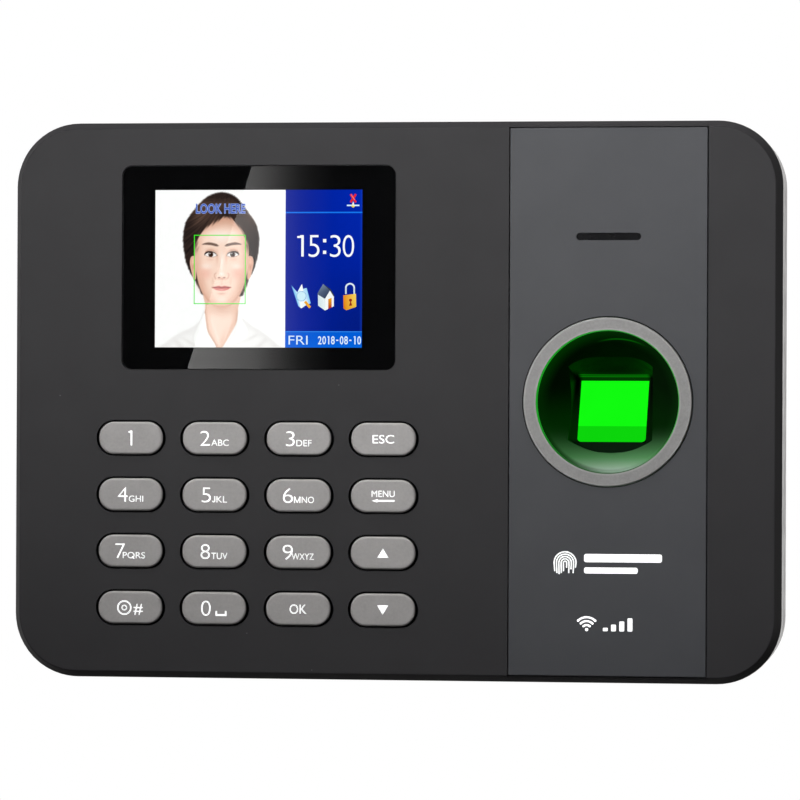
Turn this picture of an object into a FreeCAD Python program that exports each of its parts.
import FreeCAD, Part
import math
import os

# A wall-mounted fingerprint attendance terminal with a colour display and sixteen keys.
# Units are millimetres. +X is to the right seen from the front, +Z is up, and the front
# faces -Y. The origin is the centre of the wall plate's back face, which lies on the wall.
# Places are given as x, z and a depth, counted from the flat front face towards the wall.

Vector = FreeCAD.Vector

# ---- driving dimensions: the case ----
case_width = 180.0
case_height = 130.0
case_depth = 32.0            # front face to wall
corner_radius = 15.0
front_wall = 2.2
side_wall = 2.0
edge_chamfer_width = 1.55
edge_chamfer_depth = 3.0
edge_softening = 0.35
parting_depth = 11.0         # where the front cover ends
parting_gap = 0.3
lip_length = 2.0
lip_wall = 1.2
straight_depth = 21.0        # where the rear cover starts to taper
rear_face_depth = 31.6
rear_inset = 8.0             # how far the taper pulls the outline in
inner_rear_depth = 29.6

# ---- the sensor panel, ring and finger well ----
panel_left = 27.09
panel_right = 72.79
panel_half_height = 63.3
panel_thickness = 1.8
panel_floor = 3.2            # depth of the cover's floor behind the panel
panel_gap = 0.22
well_x = 49.89
ring_hole_radius = 19.65
ring_radius = 19.5
ring_bore_radius = 16.4
ring_proud = 0.7
ring_back = 1.8
well_flange_radius = 21.5
well_flange_back = 3.2
cone_mouth_radius = 16.2
cone_mouth_depth = 1.5
cone_slope = 0.64            # radius lost for each millimetre of depth
platen_low_z = -9.3
platen_low_depth = 10.1
platen_high_z = 5.0
platen_slope = 0.734         # depth gained for each millimetre of height
platen_width = 15.95
platen_corner_radius = 1.0     # the two corners at the platen's lower end
channel_front_depth = 5.9
channel_back_depth = 23.0
channel_front_half = 9.85
channel_back_half = 8.9
channel_end_z = 5.9
channel_end_depth = 21.2
well_wall = 1.6
prism_thickness = 5.6

# ---- the status light ----
slot_x = 50.0
slot_z = 38.15
slot_width = 15.0
slot_height = 1.7

# ---- the display ----
glass_left = -64.17
glass_right = 0.32
glass_bottom = 7.18
glass_top = 54.79
glass_radius = 2.3
glass_thickness = 1.1
glass_gap = 0.12
picture_x = -32.1
picture_z = 30.78
picture_width = 48.96
picture_height = 36.72
module_width = 60.0
module_height = 42.7

# ---- the keypad ----
key_columns = 4
key_rows = 4
key_first_x = -61.88
key_first_z = -8.88
key_pitch_x = 19.893
key_pitch_z = 13.21
key_width = 15.15
key_height = 7.6
key_radius = 3.6
key_proud = 0.65
key_edge_round = 0.6
key_hole_width = 16.5
key_hole_height = 8.4
key_hole_radius = 4.19
key_flange_width = 17.8
key_flange_height = 9.7
key_flange_front = front_wall + 0.05
key_flange_back = key_flange_front + 1.0
dome_front = key_flange_back + 0.05
mat_front = 4.8
mat_back = 5.8
keypad_board_back = 7.0

# ---- the boards and what is on them ----
board_front = 18.9
board_back = 20.5
board_left = -82.0
board_right = 26.0
board_bottom = -61.5
board_top = 32.0
usb_x = -34.0
usb_width = 13.1
usb_height = 5.7
usb_length = 14.0
power_x = -10.0
power_block = 9.0
power_block_depth = 7.0
power_bore_radius = 2.85
power_nose_radius = 3.3
power_length = 13.5
speaker_x = 50.9
speaker_front = 14.0
speaker_back = 20.6
ribbon_low = 13.2
ribbon_width = 14.0

# ---- the fasteners ----
case_screw_places = [(x, z) for x in (-77.5, 77.5) for z in (-48.0, 48.0)]
case_screw_places += [(14.0, -52.0), (14.0, 52.0)]
case_post_radius = 3.4
case_tube_radius = 4.6
case_seat_depth = 17.0
case_joint_depth = 14.0
board_screw_places = [(x, z) for x in (-78.0, 22.0) for z in (-30.0, 26.0)]
small_post_radius = 2.3
small_shank_radius = 0.95
small_pilot_radius = 1.0

# ---- the wall plate ----
plate_width = 112.0
plate_height = 82.0
plate_radius = 4.0
plate_thickness = 1.5
plate_hole_radius = 2.25
plate_hole_spacing = 60.0
screw_pocket_radius = 5.0    # room in the rear cover for the wall screws' heads
screw_pocket_depth = 3.6
hook_places = [(x, z) for x in (-26.0, 26.0) for z in (-20.0, 16.0)]
hook_width = 10.0
hook_lip = 3.0
tongue_half = 8.0
tab_top_z = -53.5
tab_reach_depth = 22.0
plate_screw_depth = 26.0
recess_floor_wall = 2.0


# ---------------------------------------------------------------- basic shapes

def y_at(depth):
    """The Y of a depth counted from the front face."""
    return depth - case_depth


def block(x0, x1, z0, z1, d0, d1):
    return Part.makeBox(x1 - x0, d1 - d0, z1 - z0, Vector(x0, y_at(d0), z0))


def pin_along_y(x, z, radius, d0, d1):
    return Part.makeCylinder(radius, d1 - d0, Vector(x, y_at(d0), z), Vector(0, 1, 0))


def pin_along_z(x, depth, radius, z0, z1):
    return Part.makeCylinder(radius, z1 - z0, Vector(x, y_at(depth), z0), Vector(0, 0, 1))


def rounded_outline(width, height, radius, depth, x=0.0, z=0.0):
    """A closed wire: a rectangle with round corners, at one depth."""
    half_w = width / 2
    half_h = height / 2
    edges = []
    corners = [(1, 1, 0), (-1, 1, 90), (-1, -1, 180), (1, -1, 270)]
    ends = []
    for sx, sz, start in corners:
        cx = x + sx * (half_w - radius)
        cz = z + sz * (half_h - radius)
        points = []
        for angle in (start, start + 45, start + 90):
            a = math.radians(angle)
            points.append(Vector(cx + radius * math.cos(a), y_at(depth), cz + radius * math.sin(a)))
        ends.append(points)
    for i, points in enumerate(ends):
        edges.append(Part.Arc(*points).toShape())
        following = ends[(i + 1) % 4][0]
        if points[2].distanceToPoint(following) > 1e-6:
            edges.append(Part.LineSegment(points[2], following).toShape())
    return Part.Wire(edges)


def rounded_slab(width, height, radius, d0, d1, x=0.0, z=0.0):
    outline = rounded_outline(width, height, radius, d0, x, z)
    return Part.Face(outline).extrude(Vector(0, d1 - d0, 0))


def tapered_slab(width, height, radius, inset, d0, d1):
    """A slab whose outline shrinks evenly by inset from d0 to d1."""
    front = rounded_outline(width, height, radius, d0)
    back = rounded_outline(width - 2 * inset, height - 2 * inset, radius - inset, d1)
    return Part.makeLoft([front, back], True, True)


def side_profile(points, x0, x1):
    """A closed outline of (z, depth) points, extruded along X from x0 to x1."""
    corners = [Vector(x0, y_at(d), z) for z, d in points]
    corners.append(corners[0])
    return Part.Face(Part.makePolygon(corners)).extrude(Vector(x1 - x0, 0, 0))


def top_profile(points, z0, z1):
    """A closed outline of (x, depth) points, extruded along Z from z0 to z1."""
    corners = [Vector(x, y_at(d), z0) for x, d in points]
    corners.append(corners[0])
    return Part.Face(Part.makePolygon(corners)).extrude(Vector(0, 0, z1 - z0))


def strip_outline(path, thickness):
    """The outline of a strip that follows a path of level and upright runs."""
    half = thickness / 2
    left = []
    right = []
    for i, (u, v) in enumerate(path):
        before = path[max(i - 1, 0)]
        after = path[min(i + 1, len(path) - 1)]
        run_in = (u - before[0], v - before[1]) if i else (after[0] - u, after[1] - v)
        run_out = (after[0] - u, after[1] - v) if i < len(path) - 1 else run_in
        n_in = unit_normal(run_in)
        n_out = unit_normal(run_out)
        bisector = (n_in[0] + n_out[0], n_in[1] + n_out[1])
        scale = half * 2 / (bisector[0] ** 2 + bisector[1] ** 2)
        left.append((u + bisector[0] * scale, v + bisector[1] * scale))
        right.append((u - bisector[0] * scale, v - bisector[1] * scale))
    return left + right[::-1]


def unit_normal(run):
    length = math.hypot(*run)
    return -run[1] / length, run[0] / length


def round_lead(points, radius):
    """A round wire through (x, z, depth) points, with a ball at each turn."""
    places = [Vector(x, y_at(d), z) for x, z, d in points]
    pieces = []
    for start, end in zip(places, places[1:]):
        run = end - start
        pieces.append(Part.makeCylinder(radius, run.Length, start, run))
    for place in places[1:-1]:
        pieces.append(Part.makeSphere(radius, place))
    return pieces[0].fuse(pieces[1:]).removeSplitter()


def joined(shapes):
    return shapes[0].fuse(shapes[1:]).removeSplitter()


def edges_at_depth(shape, depth):
    """The edges that lie wholly at one depth."""
    y = y_at(depth)
    found = []
    for edge in shape.Edges:
        box = edge.BoundBox
        if abs(box.YMin - y) < 1e-4 and abs(box.YMax - y) < 1e-4:
            found.append(edge)
    return found


def key_places():
    """Each key's (column, row, x, z)."""
    places = []
    for row in range(key_rows):
        for column in range(key_columns):
            x = key_first_x + column * key_pitch_x
            z = key_first_z - row * key_pitch_z
            places.append((column, row, x, z))
    return places


def keypad_screw_places():
    """Five places where four keys meet: one in the middle and four around it."""
    crossings = [(0, 0), (2, 0), (1, 1), (0, 2), (2, 2)]
    places = []
    for column, row in crossings:
        x = key_first_x + (column + 0.5) * key_pitch_x
        z = key_first_z - (row + 0.5) * key_pitch_z
        places.append((x, z))
    return places


# ---------------------------------------------------------------- front cover

def case_front_form():
    """The outside of the front cover, with the soft chamfer round its face."""
    form = rounded_slab(case_width, case_height, corner_radius, 0, parting_depth)
    form = form.makeChamfer(edge_chamfer_depth, edge_chamfer_width, edges_at_depth(form, 0))
    soft = edges_at_depth(form, 0) + edges_at_depth(form, edge_chamfer_depth)
    return form.makeFillet(edge_softening, soft)


def post(x, z, radius, d0, d1, pilot_radius, pilot_length):
    """A solid post with a blind pilot hole in its far end."""
    solid = pin_along_y(x, z, radius, d0, d1)
    return solid.cut(pin_along_y(x, z, pilot_radius, d1 - pilot_length, d1 + 1))


def front_cover():
    hollow = rounded_slab(
        case_width - 2 * side_wall, case_height - 2 * side_wall,
        corner_radius - side_wall, front_wall, parting_depth + 1,
    )
    shell = case_front_form().cut(hollow)
    floor = block(panel_left - 2, panel_right + 2, -case_height / 2 + 1, case_height / 2 - 1, 1, panel_floor)
    solids = [floor]
    for x, z in case_screw_places:
        solids.append(post(x, z, case_post_radius, 1.8, case_joint_depth, 1.2, 9))
    for x, z in board_screw_places:
        solids.append(post(x, z, small_post_radius, 1.8, board_front, small_pilot_radius, 6))
    for x, z in keypad_screw_places():
        solids.append(post(x, z, small_post_radius, 1.8, mat_back, small_pilot_radius, 3.2))
    for x, z in display_frame_screw_places():
        solids.append(post(x, z, small_post_radius, 1.8, 6.3, small_pilot_radius, 3.4))
    for x, z in well_screw_places():
        solids.append(post(x, z, small_post_radius, 1.8, 8.0, small_pilot_radius, 4))
    cover = shell.fuse(solids)
    return cover.cut(front_cover_openings()).removeSplitter()


def front_cover_openings():
    """What is cut from the front cover: the recesses and every hole through its face."""
    cuts = [panel_recess(), pin_along_y(well_x, 0, well_flange_radius + 0.3, 0, panel_floor + 1)]
    cuts.append(rounded_slab(slot_width + 4, slot_height + 4, 1, 0, panel_floor + 1, slot_x, slot_z))
    glass_x, glass_z = glass_centre()
    cuts.append(rounded_slab(
        glass_right - glass_left + 2 * glass_gap, glass_top - glass_bottom + 2 * glass_gap,
        glass_radius + glass_gap, -1, glass_thickness + 0.1, glass_x, glass_z,
    ))
    cuts.append(rounded_slab(picture_width + 2, picture_height + 2, 1, 0, front_wall + 1,
                             picture_x, picture_z))
    for _, _, x, z in key_places():
        cuts.append(rounded_slab(key_hole_width, key_hole_height, key_hole_radius,
                                 -1, front_wall + 0.01, x, z))
    return cuts


def panel_recess():
    return block(panel_left - panel_gap, panel_right + panel_gap,
                 -panel_half_height - panel_gap, panel_half_height + panel_gap, -1, panel_thickness)


def glass_centre():
    return (glass_left + glass_right) / 2, (glass_bottom + glass_top) / 2


# ---------------------------------------------------------------- rear cover

def rear_form(shrink, back_depth, front_depth):
    """The rear cover's outer form made smaller all round by shrink."""
    width = case_width - 2 * shrink
    height = case_height - 2 * shrink
    radius = corner_radius - shrink
    straight = rounded_slab(width, height, radius, front_depth, straight_depth)
    taper = tapered_slab(width, height, radius, rear_inset, straight_depth, back_depth)
    return straight.fuse(taper).removeSplitter()


def rear_cover():
    start = parting_depth + parting_gap
    outside = rear_form(0, rear_face_depth, start)
    rim = edges_at_depth(outside, rear_face_depth)
    outside = outside.makeFillet(1.0, rim)
    shell = outside.cut(rear_form(side_wall, inner_rear_depth, start - 1))
    cover = shell.fuse(rear_cover_solids(outside, start))
    return cover.cut(rear_cover_cuts()).removeSplitter()


def rear_cover_solids(outside, start):
    """The lip, the screw tubes, the thick back behind the wall plate and its screw block."""
    lip_w = case_width - 2 * side_wall - 0.3
    lip_h = case_height - 2 * side_wall - 0.3
    lip_r = corner_radius - side_wall - 0.15
    inner = rounded_slab(lip_w - 2 * lip_wall, lip_h - 2 * lip_wall, lip_r - lip_wall, 0, start + 4)
    lip = rounded_slab(lip_w, lip_h, lip_r, start - lip_length, start + 0.5).cut(inner)
    band = rounded_slab(lip_w + 1, lip_h + 1, lip_r + 0.5, start, start + 2.5).cut(inner)
    back = block(-plate_width / 2 - 2, plate_width / 2 + 2, -plate_height / 2 - 2, plate_height / 2 + 2,
                 recess_floor_depth() - recess_floor_wall, rear_face_depth)
    solids = [band, back]
    for x, z in case_screw_places:
        solids.append(pin_along_y(x, z, case_tube_radius, case_joint_depth, rear_face_depth))
    solids.append(block(-tongue_half - 3, tongue_half + 3, -case_height / 2, tab_top_z + 4,
                        board_back + 0.6, rear_face_depth))
    solids += speaker_holder()
    pocket_back = recess_floor_depth() - screw_pocket_depth - 1.5
    for x, z in plate_hole_places():
        solids.append(pin_along_y(x, z, screw_pocket_radius + 1.5, pocket_back, rear_face_depth))
    return [lip] + [solid.common(outside) for solid in solids]


def recess_floor_depth():
    """The wall plate's front face lies on the recess floor."""
    return case_depth - plate_thickness


def rear_cover_cuts():
    floor = recess_floor_depth()
    cuts = [rounded_slab(plate_width + 0.8, plate_height + 0.8, plate_radius + 0.4, floor, case_depth + 1)]
    cuts.append(block(-tongue_half - 0.6, tongue_half + 0.6, tab_top_z - plate_thickness - 0.3, -30,
                      floor, case_depth + 1))
    cuts.append(block(-tongue_half - 0.6, tongue_half + 0.6, tab_top_z - plate_thickness - 0.3,
                      tab_top_z + 0.3, tab_reach_depth - 0.6, case_depth + 1))
    for x, z in hook_places:
        top = z + plate_thickness + 0.1
        cuts.append(block(x - hook_width / 2 - 0.5, x + hook_width / 2 + 0.5, top - 5.2, top,
                          floor - recess_floor_wall - 1, floor + 1))
    for x, z in case_screw_places:
        cuts.append(pin_along_y(x, z, 1.7, case_joint_depth - 1, rear_face_depth + 1))
        cuts.append(pin_along_y(x, z, 3.2, case_seat_depth, rear_face_depth + 1))
    cuts.append(pin_along_z(0, plate_screw_depth, 1.7, -case_height / 2, tab_top_z))
    cuts.append(pin_along_z(0, plate_screw_depth, 2.0, tab_top_z, tab_top_z + 3))
    cuts.append(pin_along_z(0, plate_screw_depth, 3.2, -case_height / 2, plate_screw_seat_z()))
    cuts.append(block(usb_x - usb_width / 2 - 0.2, usb_x + usb_width / 2 + 0.2, -case_height, -60,
                      board_front - usb_height - 0.2, board_front + 0.2))
    cuts.append(block(power_x - power_block / 2 - 0.2, power_x + power_block / 2 + 0.2, -63.6, -60,
                      board_front - power_block_depth - 0.2, board_front + 0.2))
    cuts.append(pin_along_z(power_x, power_axis_depth(), power_nose_radius + 0.1, -case_height, -60))
    for x, z in plate_hole_places():
        cuts.append(pin_along_y(x, z, screw_pocket_radius, floor - screw_pocket_depth, floor + 1))
    cuts += speaker_slots()
    return cuts


def plate_hole_places():
    half = plate_hole_spacing / 2
    return [(x, z) for x in (-half, half) for z in (-half, half)]


def plate_screw_seat_z():
    return tab_top_z - plate_thickness - 3.6


def speaker_holder():
    """Two ribs that hold the speaker against the bottom wall."""
    return [block(x, x + 1.4, -64, -56.5, straight_depth - 9.0, straight_depth - 0.5) for x in (38.0, 62.6)]


def speaker_slots():
    """Seven slots through the bottom wall under the speaker."""
    front, back = speaker_front + 0.9, speaker_back - 0.9
    places = [speaker_x + 2.6 * i for i in range(-3, 4)]
    return [block(x - 0.6, x + 0.6, -case_height, -62, front, back) for x in places]


# ---------------------------------------------------------------- sensor panel, ring and light

def sensor_panel():
    panel = block(panel_left, panel_right, -panel_half_height, panel_half_height, 0, panel_thickness)
    panel = panel.makeFillet(0.2, edges_at_depth(panel, 0))
    slot = rounded_slab(slot_width, slot_height, slot_height / 2 - 0.001, -1, panel_thickness + 1,
                        slot_x, slot_z)
    return panel.cut([slot, pin_along_y(well_x, 0, ring_hole_radius, -1, panel_thickness + 1)])


def finger_ring():
    ring = pin_along_y(well_x, 0, ring_radius, -ring_proud, ring_back)
    ring = ring.cut(pin_along_y(well_x, 0, ring_bore_radius, -ring_proud - 1, ring_back + 1))
    return ring.makeFillet(0.35, edges_at_depth(ring, -ring_proud))


def status_light_bar():
    """A smoked light guide: a thin blade in the slot on a wider foot behind the panel."""
    blade = rounded_slab(slot_width - 0.1, slot_height - 0.1, slot_height / 2 - 0.06, 0.35,
                         panel_thickness + 0.1, slot_x, slot_z)
    foot = rounded_slab(slot_width + 3, slot_height + 3, 1, panel_thickness + 0.05, panel_floor,
                        slot_x, slot_z)
    return joined([blade, foot])


def status_light_board():
    return block(slot_x - 11, slot_x + 11, slot_z - 4, slot_z + 4, 4.6, 5.6)


def status_leds():
    return Part.makeCompound([
        block(x - 1.4, x + 1.4, slot_z - 1, slot_z + 1, panel_floor + 0.1, 4.6)
        for x in (slot_x - 4.5, slot_x + 4.5)
    ])


# ---------------------------------------------------------------- finger well and optics

def platen_depth(z):
    """The depth of the slanted platen plane at a height."""
    return platen_low_depth + platen_slope * (z - platen_low_z)


def in_front_of_platen(below=0.0):
    """The space in front of the platen plane, or of a plane that far behind it."""
    offset = below * math.hypot(1, platen_slope)
    low, high = -40.0, 40.0
    corners = [
        (low, -20.0), (low, platen_depth(low) + offset),
        (high, platen_depth(high) + offset), (high, -20.0),
    ]
    return side_profile(corners, well_x - 40, well_x + 40)


def cone(extra_radius=0.0, start=cone_mouth_depth):
    """The well's cone, from its mouth to its point, made wider by extra_radius."""
    mouth = cone_mouth_radius + extra_radius - cone_slope * (start - cone_mouth_depth)
    base = Vector(well_x, y_at(start), 0)
    return Part.makeCone(mouth, 0, mouth / cone_slope, base, Vector(0, 1, 0))


def channel_section(half_width, low_z, low_sag, high_z, high_rise, depth):
    """A wire with straight sides, a bowed lower end and a bowed upper end."""
    y = y_at(depth)
    left, right = well_x - half_width, well_x + half_width
    low_left, low_right = Vector(left, y, low_z), Vector(right, y, low_z)
    high_left, high_right = Vector(left, y, high_z), Vector(right, y, high_z)
    low_middle = Vector(well_x, y, low_z - low_sag)
    high_middle = Vector(well_x, y, high_z + high_rise)
    return Part.Wire([
        Part.Arc(low_left, low_middle, low_right).toShape(),
        Part.LineSegment(low_right, high_right).toShape(),
        Part.Arc(high_right, high_middle, high_left).toShape(),
        Part.LineSegment(high_left, low_left).toShape(),
    ])


def channel():
    """The finger's channel round the platen: its upper end leans in as it goes deeper."""
    lean = (12.4 - channel_end_z) / (channel_end_depth - channel_front_depth)
    end_z = channel_end_z - lean * (channel_back_depth - channel_end_depth)
    front = channel_section(channel_front_half, -8.9, 3.05, 8.4, 4.0, channel_front_depth)
    back = channel_section(channel_back_half, -8.9, 3.05, end_z - 0.3, 0.3, channel_back_depth)
    return Part.makeLoft([front, back], True, True)


def well_hollow():
    mouth = pin_along_y(well_x, 0, cone_mouth_radius, -1, cone_mouth_depth + 0.001)
    space = mouth.fuse([cone(), channel()])
    return space.common(in_front_of_platen())


def platen_block(grow, behind, ahead=0.0):
    """A block under the platen plane, its sides made larger all round by grow."""
    run = math.hypot(1, platen_slope)
    up = (1 / run, platen_slope / run)
    into = (-platen_slope / run, 1 / run)
    low = (platen_low_z, platen_low_depth)
    length = (platen_high_z - platen_low_z) * run
    corners = []
    for along, deep in ((-grow, -ahead), (length + grow, -ahead), (length + grow, behind), (-grow, behind)):
        corners.append((low[0] + up[0] * along + into[0] * deep, low[1] + up[1] * along + into[1] * deep))
    return side_profile(corners, well_x - platen_width / 2 - grow, well_x + platen_width / 2 + grow)


def finger_well():
    """A dark moulded cup: flange, cone, and a channel whose floor carries the platen."""
    flange = pin_along_y(well_x, 0, well_flange_radius, ring_back, well_flange_back)
    cup = cone(2.0, ring_back)
    trough = block(well_x - channel_front_half - well_wall, well_x + channel_front_half + well_wall,
                   -13.6, 10.5, ring_back, 30)
    lugs = []
    for x, z in well_screw_places():
        lugs.append(pin_along_y(x, z, 3.4, 8.0, 9.6))
        lugs.append(block(min(x, well_x), max(x, well_x), z - 2.2, z + 2.2, 8.0, 9.6))
    body = flange.fuse([cup, trough] + lugs).common(in_front_of_platen(well_wall))
    body = body.common(pin_along_y(well_x, 0, 40, ring_back, 26.5))
    holes = [pin_along_y(x, z, small_pilot_radius + 0.2, 7, 11) for x, z in well_screw_places()]
    return body.cut([well_hollow(), platen_block(0.1, 8)] + holes).removeSplitter()


def well_screw_places():
    return [(well_x - 22.5, 9.0), (well_x + 22.5, 9.0)]


def sensor_prism():
    """The glass block whose slanted face is the platen; its lower corner is cut away."""
    prism = platen_block(0, prism_thickness)
    low = prism.BoundBox.ZMin
    lower_corners = []
    for edge in prism.Edges:
        middle = edge.CenterOfMass
        along_the_side = abs(abs(middle.x - well_x) - platen_width / 2) < 1e-4
        if along_the_side and abs(edge.Length - prism_thickness) < 1e-4 and middle.z < 0:
            lower_corners.append(edge)
    prism = prism.makeFillet(platen_corner_radius, lower_corners)
    corner = side_profile([
        (low - 5, platen_low_depth + 6), (low + 7, platen_low_depth + 6),
        (low - 5, platen_low_depth - 6),
    ], well_x - 20, well_x + 20)
    return prism.cut(corner.common(block(well_x - 20, well_x + 20, -30, platen_low_z - 1.5, 0, 30)))


def sensor_housing():
    """A black tray behind the well that carries the optics and shuts out stray light."""
    outer = block(well_x - 12.4, well_x + 12.4, -24, 8, 9, 28.2)
    inner = block(well_x - 10.9, well_x + 10.9, -22.5, 6.5, 0, 26.7)
    behind = in_front_of_platen(well_wall + 0.1)
    rails = [block(well_x + x, well_x + x + 1.2, -16, 6, 15, 27) for x in (-8.0, 6.8)]
    rails = [rail.cut(in_front_of_platen(prism_thickness + 0.1)) for rail in rails]
    tray = outer.cut(inner).fuse(rails).cut(behind)
    well_body = block(well_x - 11.7, well_x + 11.7, -13.9, 10.8, 0, 9.5)
    cable_gap = block(well_x - 12.6, well_x - 10.7, -21.5, -13.5, 22.5, 26)
    return tray.cut([well_body, cable_gap]).removeSplitter()


def sensor_board():
    return block(well_x - 10.6, well_x + 10.6, -22.2, -3.2, 25.5, 26.6).cut(
        [block(well_x + x - 0.2, well_x + x + 1.4, -16.5, 0, 25, 27) for x in (-8.0, 6.8)])


def sensor_chip():
    return block(well_x - 3.5, well_x + 3.5, -19.5, -12.5, 24.5, 25.5)


def sensor_lens():
    """A small barrel lens over the image chip."""
    barrel = pin_along_y(well_x, -16, 3.0, 20.6, 24.4)
    return barrel.cut(pin_along_y(well_x, -16, 1.6, 20, 21.4))


def sensor_leds():
    middles = [well_x + x for x in (-4.2, 0.0, 4.2)]
    return Part.makeCompound([block(x - 1, x + 1, -7, -5, 24.3, 25.5) for x in middles])


def sensor_cable():
    """Four thin leads in one jacket from the sensor board to the main board."""
    return round_lead([
        (well_x - 10.4, -18, 24.6), (well_x - 16, -18, 24.6), (well_x - 18, -18, 22.0),
        (22.5, -18, 15.4), (18.4, -18, 15.4),
    ], 0.9)


# ---------------------------------------------------------------- display

def display_window():
    x, z = glass_centre()
    glass = rounded_slab(glass_right - glass_left, glass_top - glass_bottom, glass_radius, 0.02,
                         glass_thickness + 0.02, x, z)
    return glass.makeFillet(0.15, edges_at_depth(glass, 0.02))


def display_gasket():
    ring = rounded_slab(module_width - 1, module_height - 0.7, 1, front_wall, front_wall + 0.5,
                        picture_x, picture_z)
    return ring.cut(rounded_slab(picture_width + 2.4, picture_height + 1.6, 0.6, 0, 5, picture_x, picture_z))


def display_panel():
    return rounded_slab(module_width, module_height, 0.4, front_wall + 0.5, 4.1, picture_x, picture_z)


def display_backlight():
    return rounded_slab(module_width, module_height, 0.8, 4.1, 6.3, picture_x, picture_z)


def display_frame_screw_places():
    reach = module_width / 2 + 4.0
    return [(picture_x - reach, picture_z), (picture_x + reach, picture_z)]


def display_frame():
    """A thin steel tray round the display module, with an ear at each side."""
    tray = rounded_slab(module_width + 1.2, module_height + 1.2, 1, 2.8, 6.7, picture_x, picture_z)
    tray = tray.cut(rounded_slab(module_width + 0.3, module_height + 0.3, 0.8, 0, 6.3, picture_x, picture_z))
    ears = []
    for x, z in display_frame_screw_places():
        ears.append(block(min(x, picture_x), max(x, picture_x), z - 3, z + 3, 6.3, 6.7))
        ears.append(pin_along_y(x, z, 3.0, 6.3, 6.7))
    holes = [pin_along_y(x, z, small_pilot_radius + 0.1, 5, 8) for x, z in display_frame_screw_places()]
    ribbon_gap = block(picture_x, picture_x + module_width,
                       ribbon_low - 0.5, ribbon_low + ribbon_width + 0.5, 2, 5.2)
    module = rounded_slab(module_width + 0.3, module_height + 0.3, 0.8, 0, 6.3, picture_x, picture_z)
    return tray.fuse(ears).cut([module, ribbon_gap] + holes).removeSplitter()


def display_ribbon():
    """The flat lead from the display's right-hand edge back to the main board."""
    edge = picture_x + module_width / 2
    path = [(edge, 3.6), (edge + 4.6, 3.6), (edge + 4.6, 18.0), (edge - 1.0, 18.0)]
    return top_profile(strip_outline(path, 0.3), ribbon_low, ribbon_low + ribbon_width)


# ---------------------------------------------------------------- keypad

def key(x, z):
    """A key cap with a soft front edge and a flange that holds it behind the cover."""
    cap = rounded_slab(key_width, key_height, key_radius, -key_proud, key_flange_front + 0.1, x, z)
    cap = cap.makeFillet(key_edge_round, edges_at_depth(cap, -key_proud))
    flange = rounded_slab(key_flange_width, key_flange_height, key_hole_radius + 0.6,
                          key_flange_front, key_flange_back, x, z)
    return joined([cap, flange])


def keypad_mat():
    middle_x = key_first_x + 1.5 * key_pitch_x
    middle_z = key_first_z - 1.5 * key_pitch_z
    sheet = rounded_slab(77.5, 52.4, 3, mat_front, mat_back, middle_x, middle_z)
    holes = [pin_along_y(x, z, small_post_radius + 0.3, 4, 7) for x, z in keypad_screw_places()]
    holes += [pin_along_y(x, z, 1.9, 4, 7) for _, _, x, z in key_places()]
    return sheet.cut(holes)


def keypad_domes():
    """The mat's sixteen soft domes, which squash as their keys go in."""
    domes = []
    for _, _, x, z in key_places():
        height = mat_front - dome_front
        outside = Part.makeCone(2.2, 3.4, height, Vector(x, y_at(dome_front), z), Vector(0, 1, 0))
        inside = Part.makeCone(1.4, 1.9, height - 0.5, Vector(x, y_at(dome_front + 0.5), z), Vector(0, 1, 0))
        domes.append(outside.cut(inside))
    return Part.makeCompound(domes)


def keypad_board():
    middle_x = key_first_x + 1.5 * key_pitch_x
    middle_z = key_first_z - 1.5 * key_pitch_z
    board = rounded_slab(81.0, 54.2, 2, mat_back, keypad_board_back, middle_x, middle_z)
    return board.cut([pin_along_y(x, z, small_pilot_radius + 0.2, 5, 8) for x, z in keypad_screw_places()])


def keypad_ribbon():
    """The flat lead from the keypad board back to the main board."""
    path = [(-9.0, 7.2), (-12.0, 7.2), (-12.0, 18.0), (-15.0, 18.0)]
    return side_profile(strip_outline(path, 0.3), -48.0, -36.0)


# ---------------------------------------------------------------- main board

def main_board():
    board = block(board_left, board_right, board_bottom, board_top, board_front, board_back)
    board = board.cut([
        block(board_left - 1, -71.5, board_bottom - 1, -40, 0, 30),
        block(7.5, board_right + 1, board_bottom - 1, -45.5, 0, 30),
    ])
    return board.cut([pin_along_y(x, z, small_pilot_radius + 0.2, 10, 30) for x, z in board_screw_places])


def processor_chips():
    chips = []
    for x, z, width, height in ((-30, 2, 14, 14), (-8, -2, 10, 10), (-52, 8, 8, 6)):
        chips.append(block(x - width / 2, x + width / 2, z - height / 2, z + height / 2,
                           board_front - 1.2, board_front))
    return Part.makeCompound(chips)


def board_connectors():
    """The sockets that the display, keypad, sensor and speaker leads plug into."""
    edge = picture_x + module_width / 2
    return Part.makeCompound([
        block(edge - 5.0, edge - 1.0, ribbon_low - 1, ribbon_low + ribbon_width + 1,
              board_front - 1.9, board_front),
        block(-49.0, -35.0, -19.0, -15.0, board_front - 1.9, board_front),
        block(12.4, 18.4, -21.0, -15.0, board_front - 4.5, board_front),
        block(12.4, 18.4, -39.0, -33.0, board_front - 4.5, board_front),
    ])


def wireless_module():
    return block(8.0, 23.0, -2.0, 10.0, board_front - 2.6, board_front)


def wireless_antenna():
    return block(28.0, 64.0, 62.55, 62.9, 14.4, 20.4)


def antenna_cable():
    return round_lead([(16.0, 10.6, 17.0), (16.0, 16.0, 15.0), (24.0, 44.0, 15.0), (32.0, 61.9, 16.0),
                       (34.0, 61.9, 17.4)], 0.55)


def cell_holder():
    cup = pin_along_y(-60, -16, 7.4, board_front - 3.4, board_front)
    seat = board_front - 1.0
    return cup.cut([pin_along_y(-60, -16, 6.3, 10, seat), block(-62, -58, -25, -16, 10, seat)])


def backup_cell():
    return pin_along_y(-60, -16, 6.25, board_front - 3.0, board_front - 1.0)


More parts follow.
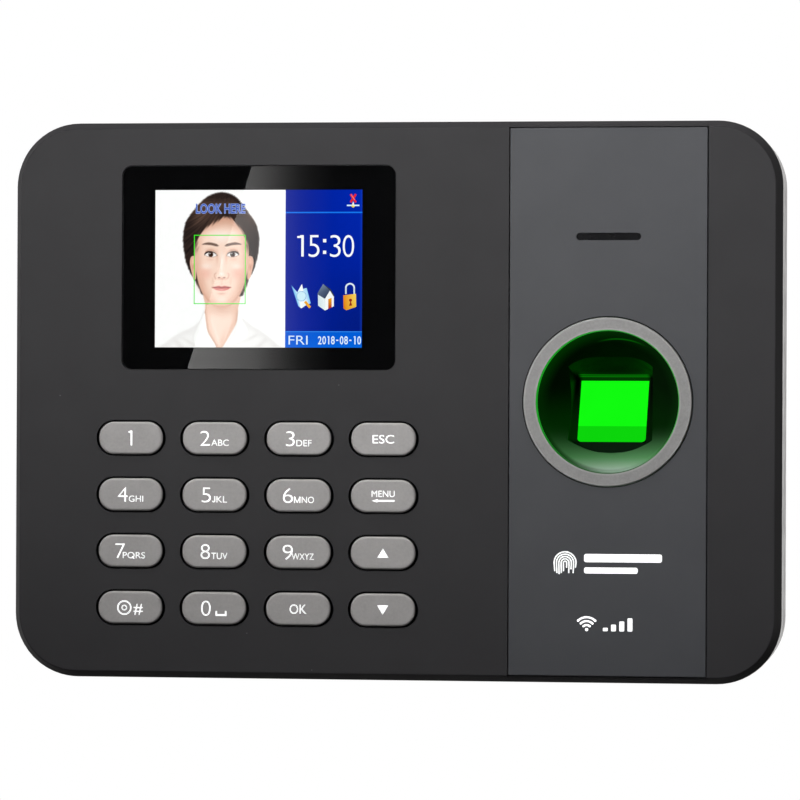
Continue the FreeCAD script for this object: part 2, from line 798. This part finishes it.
def usb_socket():
    """A full-size USB socket: a folded steel shell with the contact tongue inside."""
    low = -case_height / 2 + 0.1
    shell = block(usb_x - usb_width / 2, usb_x + usb_width / 2, low, low + usb_length,
                  board_front - usb_height, board_front)
    shell = shell.cut(block(usb_x - 6.25, usb_x + 6.25, low - 1, low + usb_length - 2.0,
                            board_front - usb_height + 0.3, board_front - 0.3))
    tongue = block(usb_x - 5.5, usb_x + 5.5, low + 1.2, low + usb_length - 1.0,
                   board_front - 2.45, board_front - 0.6)
    return joined([shell, tongue])


def power_axis_depth():
    return board_front - power_block_depth / 2


def power_socket():
    """A round low-voltage power socket: a moulded block, its barrel hole and centre pin."""
    low = -case_height / 2 + 1.6
    depth = power_axis_depth()
    body = block(power_x - power_block / 2, power_x + power_block / 2, low, low + power_length,
                 board_front - power_block_depth, board_front)
    nose = pin_along_z(power_x, depth, power_nose_radius, -case_height / 2 + 0.1, low + 1)
    bore = pin_along_z(power_x, depth, power_bore_radius, -case_height / 2 - 1, low + 9.0)
    body = body.fuse(nose).cut(bore)
    pin = pin_along_z(power_x, depth, 1.0, low + 0.4, low + 9.5)
    return joined([body, pin])


def speaker():
    """A small sealed loudspeaker that faces down at the bottom wall."""
    body = block(speaker_x - 11, speaker_x + 11, -61.9, -57.4, speaker_front, speaker_back)
    dish = block(speaker_x - 9, speaker_x + 9, -62.5, -61.0, speaker_front + 1, speaker_back - 1)
    return body.cut(dish)


def speaker_gasket():
    ring = block(speaker_x - 11, speaker_x + 11, -62.9, -61.9, speaker_front, speaker_back)
    opening = block(speaker_x - 9.8, speaker_x + 9.8, -64, -60, speaker_front + 0.8, speaker_back - 0.8)
    return ring.cut(opening)


def speaker_cable():
    return round_lead([
        (40.6, -56.6, 16.6), (31.0, -46.0, 16.6), (26.0, -36.0, 15.8), (18.4, -36.0, 15.8),
    ], 0.7)


# ---------------------------------------------------------------- wall plate and fasteners

def wall_plate():
    """A stamped steel plate with four hooks, their windows and a screwed tab below."""
    front = recess_floor_depth()
    plate = rounded_slab(plate_width, plate_height, plate_radius, front, case_depth)
    tab_low_z = tab_top_z - plate_thickness
    solids = [
        block(-tongue_half, tongue_half, tab_low_z, -30, front, case_depth),
        block(-tongue_half, tongue_half, tab_low_z, tab_top_z, tab_reach_depth, case_depth),
    ]
    lip_back = front - recess_floor_wall - 0.2
    lip_front = lip_back - plate_thickness
    for x, z in hook_places:
        left, right = x - hook_width / 2, x + hook_width / 2
        solids.append(block(left, right, z, z + plate_thickness, lip_front, front + 0.5))
        solids.append(block(left, right, z, z + plate_thickness + hook_lip, lip_front, lip_back))
    cuts = [pin_along_z(0, plate_screw_depth, 1.52, -70, -50)]
    for x, z in hook_places:
        cuts.append(block(x - hook_width / 2, x + hook_width / 2, z - 7.5, z, front - 0.5, case_depth + 1))
    for x, z in plate_hole_places():
        cuts.append(pin_along_y(x, z, plate_hole_radius, front - 1, case_depth + 1))
    return plate.fuse(solids).cut(cuts).removeSplitter()


def cross_recess(x, z, size, d0, d1):
    level = block(x - size, x + size, z - 0.3, z + 0.3, d0, d1)
    upright = block(x - 0.3, x + 0.3, z - size, z + size, d0, d1)
    return [level, upright]


def case_screws():
    screws = []
    for x, z in case_screw_places:
        head = pin_along_y(x, z, 2.9, case_seat_depth, case_seat_depth + 2.1)
        shank = pin_along_y(x, z, 1.15, case_joint_depth - 7, case_seat_depth)
        screw = joined([head, shank])
        screws.append(screw.cut(cross_recess(x, z, 1.6, case_seat_depth + 1.0, case_seat_depth + 3)))
    return Part.makeCompound(screws)


def small_screws():
    """The screws that hold the main board, keypad board, display tray and finger well."""
    seats = [(x, z, board_back) for x, z in board_screw_places]
    seats += [(x, z, keypad_board_back) for x, z in keypad_screw_places()]
    seats += [(x, z, 6.7) for x, z in display_frame_screw_places()]
    seats += [(x, z, 9.6) for x, z in well_screw_places()]
    screws = []
    for x, z, seat in seats:
        head = pin_along_y(x, z, 1.9, seat, seat + 1.3)
        shank = pin_along_y(x, z, small_shank_radius, seat - 3.6, seat)
        screw = joined([head, shank])
        screws.append(screw.cut(cross_recess(x, z, 1.1, seat + 0.7, seat + 2)))
    return Part.makeCompound(screws)


def wall_plate_screw():
    """The screw that is driven up through the case bottom into the wall plate's tab."""
    seat = plate_screw_seat_z()
    depth = plate_screw_depth
    head = pin_along_z(0, depth, 2.8, seat - 2.1, seat)
    shank = pin_along_z(0, depth, 1.45, seat, tab_top_z + 2.4)
    socket = pin_along_z(0, depth, 1.2, seat - 3, seat - 1)
    return joined([head, shank]).cut(socket)


# ---------------------------------------------------------------- all the pieces

key_names = [
    ["key_1", "key_2", "key_3", "key_esc"],
    ["key_4", "key_5", "key_6", "key_menu"],
    ["key_7", "key_8", "key_9", "key_up"],
    ["key_hash", "key_0", "key_ok", "key_down"],
]

builders = [
    front_cover, rear_cover, sensor_panel, finger_ring, finger_well, sensor_prism, sensor_housing,
    sensor_board, sensor_chip, sensor_lens, sensor_leds, sensor_cable, status_light_bar,
    status_light_board, status_leds, display_window, display_gasket, display_panel,
    display_backlight, display_frame, display_ribbon, keypad_mat, keypad_domes, keypad_board,
    keypad_ribbon, main_board, processor_chips, board_connectors, wireless_module,
    wireless_antenna, antenna_cable, cell_holder, backup_cell, usb_socket, power_socket,
    speaker, speaker_gasket, speaker_cable, wall_plate, wall_plate_screw, case_screws, small_screws,
]


def main():
    os.makedirs("parts", exist_ok=True)
    for build in builders:
        build().exportStep("parts/" + build.__name__ + ".step")
    for column, row, x, z in key_places():
        key(x, z).exportStep("parts/" + key_names[row][column] + ".step")


main()
